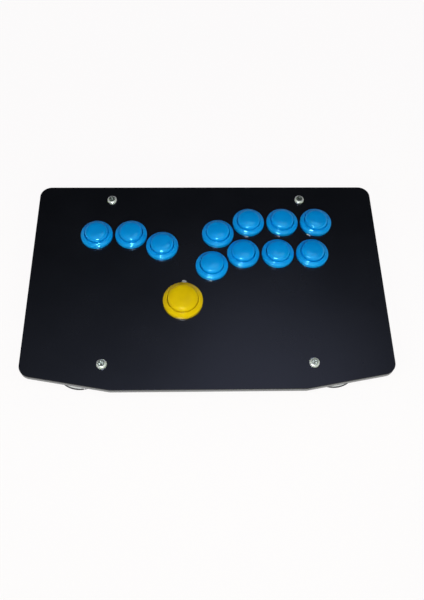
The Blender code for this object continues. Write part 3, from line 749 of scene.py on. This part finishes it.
def collar_mesh(size):
    """Collar, barrel, snap tongues and switch clips. Heights count from the panel's face."""
    name = "jump_housing" if size is LARGE else "move_left_housing"
    low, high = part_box(name)
    top = high.z - FACE
    bottom = low.z + CLIP_DROP - FACE
    floor = bottom + BARREL_FLOOR
    barrel = size["hole"] - BARREL_CLEARANCE
    collar = size["collar"]
    bore = size["bore"]
    profile = rounded(
        [
            (barrel, SEAT, 0),
            (collar, SEAT, 0.15 * MM),
            (collar, size["side"], 1.5 * MM),
            (bore + 1.3 * MM, top - 0.45 * MM, 0.8 * MM),
            (bore + 0.8 * MM, top, 0.45 * MM),
            (bore, top, 0.3 * MM),
            (bore, floor, 0.3 * MM),
            (STEM_WELL, floor, 0),
            (STEM_WELL, bottom, 0),
            (barrel, bottom, 0.4 * MM),
        ],
        segments=6,
    )
    body = turned("collar", profile, BUTTON_SIDES)
    tongue_top = PLATE_LOW.z - FACE - GAP
    clip_start = SWITCH_LENGTH / 2 + GAP
    additions = []
    for side in (-1, 1):
        tongue_x = sorted((side * (barrel - TONGUE_ROOT), side * (barrel + TONGUE_REACH)))
        tongue_low = (tongue_x[0], -TONGUE_WIDTH / 2, tongue_top - TONGUE_HEIGHT)
        tongue_high = (tongue_x[1], TONGUE_WIDTH / 2, tongue_top)
        additions.append(box("tongue", tongue_low, tongue_high, EDGE_ROUNDING))
        clip_y = sorted((side * clip_start, side * (clip_start + CLIP_THICKNESS)))
        clip_low = (-CLIP_WIDTH / 2, clip_y[0], low.z - FACE)
        clip_high = (CLIP_WIDTH / 2, clip_y[1], bottom + CLIP_ROOT)
        additions.append(box("clip", clip_low, clip_high, EDGE_ROUNDING))
    return without_specks(boolean(body, additions, "UNION"))


def plunger_mesh(size):
    """A cap with a soft crown and a rounded shoulder, hollow below, on a stem."""
    name = "jump_plunger" if size is LARGE else "move_left_plunger"
    low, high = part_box(name)
    top = high.z - FACE
    bottom = low.z - FACE
    roof = top - PLUNGER_ROOF
    radius = size["bore"] - GAP
    inside = radius - PLUNGER_WALL
    crown = dome(radius, top - size["crown"], top, CROWN_CURVE)
    below = rounded(
        [
            crown[-1] + (0,),
            (radius, PLUNGER_SKIRT, 0.2 * MM),
            (inside, PLUNGER_SKIRT, 0.2 * MM),
            (inside, roof, 0.5 * MM),
            (PLUNGER_STEM, roof, 0.4 * MM),
            (PLUNGER_STEM, bottom, 0.3 * MM),
            (0, bottom, 0),
        ],
        closed=False,
    )
    return turned("plunger", crown[:-1] + below, BUTTON_SIDES)


def make_buttons():
    """A collar, a cap and a switch for each button. Each cap leans its own way a little."""
    blue = moulded_plastic(
        "blue_abs", (0.0002, 0.230, 0.720), (0.0003, 0.254, 0.78), (0.20, 0.80, 1.0), 1.1, 0.1
    )
    yellow = moulded_plastic(
        "yellow_abs", (0.590, 0.380, 0.0020), (0.650, 0.423, 0.0030), (1.0, 0.95, 0.4), 0.12, 1.0
    )
    switch = switch_body()
    meshes = {id(size): (collar_mesh(size), plunger_mesh(size)) for size in (SMALL, LARGE)}
    for index, name in enumerate(BUTTONS):
        size = button_size(name)
        collar, plunger = meshes[id(size)]
        heading = index * math.radians(137.5) + math.radians(35)
        aside = Vector((math.cos(heading), math.sin(heading), 0))
        lean = Matrix.Rotation(PLUNGER_LEAN, 4, aside)
        shift = aside * PLUNGER_SHIFT - Vector((0, 0, PLUNGER_SINK))
        plunger = plunger.copy()
        plunger.transform(Matrix.Translation(shift) @ lean)
        plastic, slot = (yellow, "yellow_plastic") if size is LARGE else (blue, "blue_plastic")
        centre = middle(f"{name}_plunger")
        place = (centre.x, centre.y, FACE)
        show(f"{name}_collar", collar, plastic, ROOT, f"{name}_housing", place)
        show(f"{name}_cap", plunger, plastic, f"{name}_button", f"{name}_plunger", place)
        finish_node(f"{name}_switch", switch)


# Panel, tray, screws and cups


def panel_corners():
    """The panel's plan: a rectangle whose front falls back towards both sides."""
    half = PANEL_HIGH.x
    flat = FRONT_FLAT / 2
    front = PANEL_LOW.y
    shoulder = front + FRONT_SETBACK
    return [
        (-flat, front, FRONT_CORNER),
        (flat, front, FRONT_CORNER),
        (half, shoulder, PANEL_CORNER),
        (half, PANEL_HIGH.y, PANEL_CORNER),
        (-half, PANEL_HIGH.y, PANEL_CORNER),
        (-half, shoulder, PANEL_CORNER),
    ]


def panel_cutters():
    """Holes for the buttons and the screws, through both layers of the panel."""
    low = PLATE_LOW.z - MM
    high = FACE + MM
    cutters = []
    for name in BUTTONS:
        radius = button_size(name)["hole"]
        hole = turned("hole", [(0, low), (radius, low), (radius, high), (0, high)], 64)
        centre = middle(f"{name}_plunger")
        cutters.append(moved(hole, (centre.x, centre.y, 0)))
    for corner in CORNERS:
        radius = SCREW_HOLE
        hole = turned("hole", [(0, low), (radius, low), (radius, high), (0, high)], 32)
        centre = middle(f"{corner}_panel_screw")
        cutters.append(moved(hole, (centre.x, centre.y, 0)))
    return cutters


def make_panel():
    """The film and the plate under it, which share one outline and its holes."""
    outline = rounded(panel_corners(), segments=16)
    seam = PANEL_LOW.z
    film = prism("film", outline, seam, FACE, top_round=FILM_ROUNDING)
    plate = prism("plate", outline, PLATE_LOW.z, seam, bottom_round=PLATE_ROUNDING)
    cutters = panel_cutters()
    film = boolean(film, cutters, "DIFFERENCE")
    plate = boolean(plate, cutters, "DIFFERENCE")
    show("panel_film", film, face_film(), ROOT, "face_sheet", angle=20)
    show("panel_plate", plate, cut_edge(), ROOT, "top_plate", angle=20)


def cross_recess():
    """A cutter for a cross-head screw's recess: two slots at right angles."""
    sizes = ((RECESS_REACH, RECESS_HALF_WIDTH), (RECESS_HALF_WIDTH, RECESS_REACH))
    arms = [box("arm", (-x, -y, -RECESS_DEPTH), (x, y, RECESS_DEPTH)) for x, y in sizes]
    return boolean(arms[0], [arms[1]], "UNION")


def make_screws():
    """Four cross-head panel screws, each turned its own way, with their nuts and cup screws."""
    steel = plated_steel()
    # The screws' finish carries a painted highlight on the rim and painted shade in the recess.
    marked = screw_steel()
    bottom = SCREW_LOW.z - FACE
    profile = rounded(
        [
            (0, SCREW_TOP, 0),
            (SCREW_RADIUS - 1.3 * MM, SCREW_TOP - 0.05 * MM, 1.5 * MM),
            (SCREW_RADIUS - 0.15 * MM, SCREW_TOP - 0.85 * MM, 1.0 * MM),
            (SCREW_RADIUS, SEAT, 0.3 * MM),
            (SCREW_SHANK, SEAT, 0),
            (SCREW_SHANK, bottom, 0.4 * MM),
            (0, bottom, 0),
        ],
        closed=False,
        segments=8,
    )
    head = turned("screw", profile, 64)
    head = boolean(head, [moved(cross_recess(), (0, 0, SCREW_TOP))], "DIFFERENCE")
    head = without_specks(head)
    for index, corner in enumerate(CORNERS):
        centre = middle(f"{corner}_panel_screw")
        turn = Matrix.Rotation(math.radians(23 + 37 * index), 4, "Z")
        mesh = head.copy()
        mesh.transform(turn)
        place = (centre.x, centre.y, FACE)
        node = f"{corner}_panel_screw"
        show(f"{corner}_screw", mesh, marked, ROOT, node, place)
        finish_node(f"{corner}_panel_nut", steel)
        finish_node(f"{corner}_cup_screw", steel)


def make_cups():
    """Four clear suction cups, each with a blind hole for its screw."""
    vinyl = clear_vinyl()
    low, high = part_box("front_left_suction_cup")
    radius = (high.x - low.x) / 2
    profile = rounded(
        [
            (0, CUP_HOLE_BOTTOM, 0),
            (CUP_HOLE, CUP_HOLE_BOTTOM, 0.3 * MM),
            (CUP_HOLE, high.z, 0),
            (CUP_NECK, high.z, 0.5 * MM),
            (CUP_NECK, 7.6 * MM, 2.5 * MM),
            (12 * MM, 5.5 * MM, 8 * MM),
            (radius - 1.6 * MM, 1.9 * MM, 1.2 * MM),
            (radius, 1.3 * MM, 0.5 * MM),
            (radius, 0, 0.5 * MM),
            (radius - 3 * MM, 0, 1.0 * MM),
            (14 * MM, 2.0 * MM, 10 * MM),
            (6 * MM, 3.4 * MM, 6 * MM),
            (0, 3.4 * MM, 0),
        ],
        closed=False,
        segments=6,
    )
    cup = turned("cup", profile, 96)
    for corner in CORNERS:
        centre = middle(f"{corner}_suction_cup")
        node = f"{corner}_suction_cup"
        show(f"{corner}_cup", cup, vinyl, ROOT, node, (centre.x, centre.y, 0))


def tray_front(x):
    """The front wall's outer face at x. It runs parallel to the panel's front edge."""
    slope = FRONT_SETBACK / (PANEL_HIGH.x - FRONT_FLAT / 2)
    return TRAY_LOW.y + max(0.0, abs(x) - FRONT_FLAT / 2) * slope


def tray_outline(inset):
    """The tray's plan, drawn in from its outer face by inset."""
    side = TRAY_HIGH.x - inset
    flat = FRONT_FLAT / 2
    back = TRAY_HIGH.y - inset
    radius = TRAY_CORNER - inset
    corners = [
        (-flat, tray_front(flat) + inset, radius),
        (flat, tray_front(flat) + inset, radius),
        (side, tray_front(side) + inset, radius),
        (side, back, radius),
        (-side, back, radius),
        (-side, tray_front(side) + inset, radius),
    ]
    return rounded(corners, segments=8)


def tray_tabs():
    """Four inward tabs at the rim, with rounded ends, which carry the panel screws."""
    tabs = []
    top = TRAY_HIGH.z
    for corner in CORNERS:
        centre = middle(f"{corner}_panel_screw")
        if centre.y < 0:
            ends = (tray_front(abs(centre.x) + TAB_WIDTH / 2) + TRAY_WALL / 2, centre.y + TAB_REACH)
            radii = (0, TAB_CORNER)
        else:
            ends = (centre.y - TAB_REACH, TRAY_HIGH.y - TRAY_WALL / 2)
            radii = (TAB_CORNER, 0)
        left = centre.x - TAB_WIDTH / 2
        right = centre.x + TAB_WIDTH / 2
        outline = rounded(
            [
                (left, ends[0], radii[0]),
                (right, ends[0], radii[0]),
                (right, ends[1], radii[1]),
                (left, ends[1], radii[1]),
            ]
        )
        tabs.append(prism("tab", outline, top - TRAY_WALL, top))
    return tabs


def board_posts():
    """Four posts that stand in the tray under the encoder board, chamfered at the top."""
    board_low, board_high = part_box("encoder_board")
    bottom = TRAY_LOW.z + TRAY_WALL / 2
    top = board_low.z - GAP
    chamfer = 0.3 * MM
    radius = BOARD_POST_RADIUS
    side = [(radius, bottom), (radius, top - chamfer), (radius - chamfer, top)]
    profile = [(0, bottom)] + side + [(0, top)]
    posts = []
    for x in (board_low.x + BOARD_POST_INSET, board_high.x - BOARD_POST_INSET):
        for y in (board_low.y + BOARD_POST_INSET, board_high.y - BOARD_POST_INSET):
            posts.append(moved(turned("post", profile, 32), (x, y, 0)))
    return posts


def tray_holes():
    """Cutters for the cup screws, the panel screws and the USB socket's nose."""
    cutters = []
    starts = {"suction_cup": TRAY_LOW.z - MM, "panel_screw": TRAY_HIGH.z - 3 * MM}
    for corner in CORNERS:
        for node, low in starts.items():
            centre = middle(f"{corner}_{node}")
            high = low + 4 * MM
            profile = [(0, low), (SCREW_HOLE, low), (SCREW_HOLE, high), (0, high)]
            cutters.append(moved(turned("hole", profile, 32), (centre.x, centre.y, 0)))
    nose = middle("usb_socket")
    half_x = SOCKET_NOSE[0] / 2 + GAP
    half_z = SOCKET_NOSE[1] / 2 + GAP
    low = (nose.x - half_x, TRAY_HIGH.y - TRAY_WALL - MM, nose.z - half_z)
    cutters.append(box("opening", low, (nose.x + half_x, TRAY_HIGH.y + MM, nose.z + half_z)))
    return cutters


def make_tray():
    """Folded sheet steel: one open tray with rounded folds, tabs, board posts and holes."""
    low, top = TRAY_LOW.z, TRAY_HIGH.z
    shell = prism("shell", tray_outline(0), low, top, bottom_round=TRAY_FOLD, segments=8)
    hollow = prism(
        "hollow",
        tray_outline(TRAY_WALL),
        low + TRAY_WALL,
        top + MM,
        bottom_round=TRAY_FOLD - TRAY_WALL,
        segments=6,
    )
    tray = boolean(shell, [hollow], "DIFFERENCE")
    tray = boolean(tray, tray_tabs() + board_posts(), "UNION")
    tray = boolean(tray, tray_holes(), "DIFFERENCE")
    show("tray", tray, powder_coat(), ROOT, "case_tray", angle=25)


def finish_node(node, material):
    """Give a CAD node that keeps its shape its procedural finish."""
    obj = frame["nodes"][node]
    obj.data.materials.clear()
    obj.data.materials.append(material)


def make_electronics():
    """Finishes for the board, the socket and the wires, whose CAD shapes stay."""
    finish_node("encoder_board", circuit_board())
    finish_node("usb_socket", socket_shell())
    covers = {
        "usb_lead": ("lead_cover", (0.012, 0.012, 0.013), (0.022, 0.022, 0.023)),
        "signal_loom": ("signal_cover", (0.30, 0.02, 0.015), (0.42, 0.03, 0.02)),
        "ground_chain": ("ground_cover", (0.010, 0.010, 0.011), (0.02, 0.02, 0.02)),
    }
    for node, cover in covers.items():
        finish_node(node, wire_cover(*cover))


bpy.context.scene.view_settings.view_transform = "Standard"
make_camera()
make_world()
make_lights()
make_floor()
make_panel()
make_buttons()
make_screws()
make_cups()
make_tray()
make_electronics()
